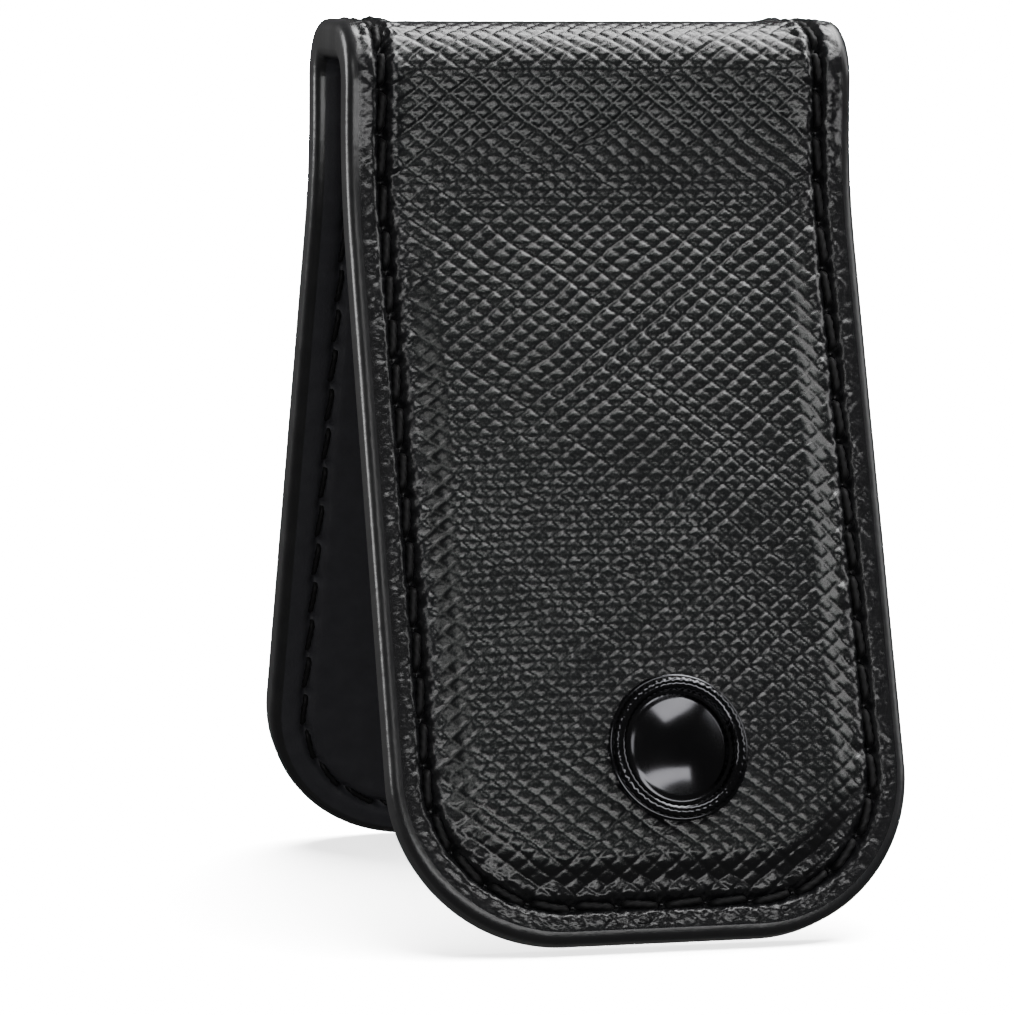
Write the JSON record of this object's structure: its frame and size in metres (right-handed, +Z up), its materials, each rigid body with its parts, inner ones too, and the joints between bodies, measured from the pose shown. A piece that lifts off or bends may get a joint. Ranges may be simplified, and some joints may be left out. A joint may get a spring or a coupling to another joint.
{
  "type": "money clip",
  "caption": "Folded black leather money clip, two padded leaves over a flexible fold, magnets inside, stitched all round, oval metal plaque in front.",
  "frame": {"origin": "middle of the footprint of the standing clip, level with the tips of both leaves", "axes": "+Z up to the fold, +X along the fold to the right seen from the front, -Y towards the front leaf"},
  "size_m": [0.038, 0.051, 0.0647],
  "materials": {
    "cover": "crosshatch-embossed black calf, semi-gloss",
    "lining": "smooth matte black leather",
    "thread": "waxed black polyester thread",
    "board": "bonded leather fibre board",
    "foam": "dense black foam sheet",
    "magnet": "nickel-plated magnet",
    "emblem": "polished black nickel"
  },
  "bodies": {
    "front_leaf": {"front_cover": "cover", "front_lining": "lining", "front_board": "board", "front_magnet_left": "magnet", "front_magnet_right": "magnet", "front_foam": "foam", "front_needle_thread": "thread", "front_bobbin_thread": "thread", "emblem_plate": "emblem", "emblem_backing_plate": "emblem"},
    "front_neck": {"front_neck_cover": "cover", "front_neck_lining": "lining", "front_neck_needle_thread_left": "thread", "front_neck_needle_thread_right": "thread", "front_neck_bobbin_thread_left": "thread", "front_neck_bobbin_thread_right": "thread"},
    "fold_1": {"fold_1_cover": "cover", "fold_1_lining": "lining", "fold_1_needle_thread_left": "thread", "fold_1_needle_thread_right": "thread", "fold_1_bobbin_thread_left": "thread", "fold_1_bobbin_thread_right": "thread"},
    "fold_2": {"fold_2_cover": "cover", "fold_2_lining": "lining", "fold_2_needle_thread_left": "thread", "fold_2_needle_thread_right": "thread", "fold_2_bobbin_thread_left": "thread", "fold_2_bobbin_thread_right": "thread"},
    "fold_3": {"fold_3_cover": "cover", "fold_3_lining": "lining", "fold_3_needle_thread_left": "thread", "fold_3_needle_thread_right": "thread", "fold_3_bobbin_thread_left": "thread", "fold_3_bobbin_thread_right": "thread"},
    "rear_neck": {"rear_neck_cover": "cover", "rear_neck_lining": "lining", "rear_neck_needle_thread_left": "thread", "rear_neck_needle_thread_right": "thread", "rear_neck_bobbin_thread_left": "thread", "rear_neck_bobbin_thread_right": "thread"},
    "rear_leaf": {"rear_cover": "cover", "rear_lining": "lining", "rear_board": "board", "rear_magnet_left": "magnet", "rear_magnet_right": "magnet", "rear_foam": "foam", "rear_needle_thread": "thread", "rear_bobbin_thread": "thread"}
  },
  "joints": [
    {"name": "fold_hinge_2", "type": "hinge", "parent": "fold_2", "child": "fold_1", "pos_m": [0, -0.00408, 0.06429], "axis": [-1, 0, 0], "range_deg": [0, 35.1], "stiffness_Nm_per_rad": 0.05},
    {"name": "fold_hinge_1", "type": "hinge", "parent": "fold_1", "child": "front_neck", "pos_m": [0, -0.00647, 0.06191], "axis": [-1, 0, 0], "range_deg": [0, 35.1], "stiffness_Nm_per_rad": 0.05},
    {"name": "front_leaf_flex", "type": "hinge", "parent": "front_neck", "child": "front_leaf", "pos_m": [0, -0.0039, 0.05263], "axis": [-1, 0, 0], "range_deg": [-22.6, 0], "stiffness_Nm_per_rad": 0.08},
    {"name": "fold_hinge_3", "type": "hinge", "parent": "fold_2", "child": "fold_3", "pos_m": [0, 0.00408, 0.06429], "axis": [1, 0, 0], "range_deg": [0, 35.1], "stiffness_Nm_per_rad": 0.05},
    {"name": "fold_hinge_4", "type": "hinge", "parent": "fold_3", "child": "rear_neck", "pos_m": [0, 0.00647, 0.06191], "axis": [1, 0, 0], "range_deg": [0, 35.1], "stiffness_Nm_per_rad": 0.05},
    {"name": "rear_leaf_flex", "type": "hinge", "parent": "rear_neck", "child": "rear_leaf", "pos_m": [0, 0.0039, 0.05263], "axis": [1, 0, 0], "range_deg": [-22.6, 0], "stiffness_Nm_per_rad": 0.08}
  ],
  "couplings": [
    {"joint": "rear_leaf_flex", "follows": "front_leaf_flex", "ratio": 1},
    {"joint": "fold_hinge_1", "follows": "fold_hinge_2", "ratio": 1},
    {"joint": "fold_hinge_3", "follows": "fold_hinge_2", "ratio": 1},
    {"joint": "fold_hinge_4", "follows": "fold_hinge_2", "ratio": 1}
  ]
}
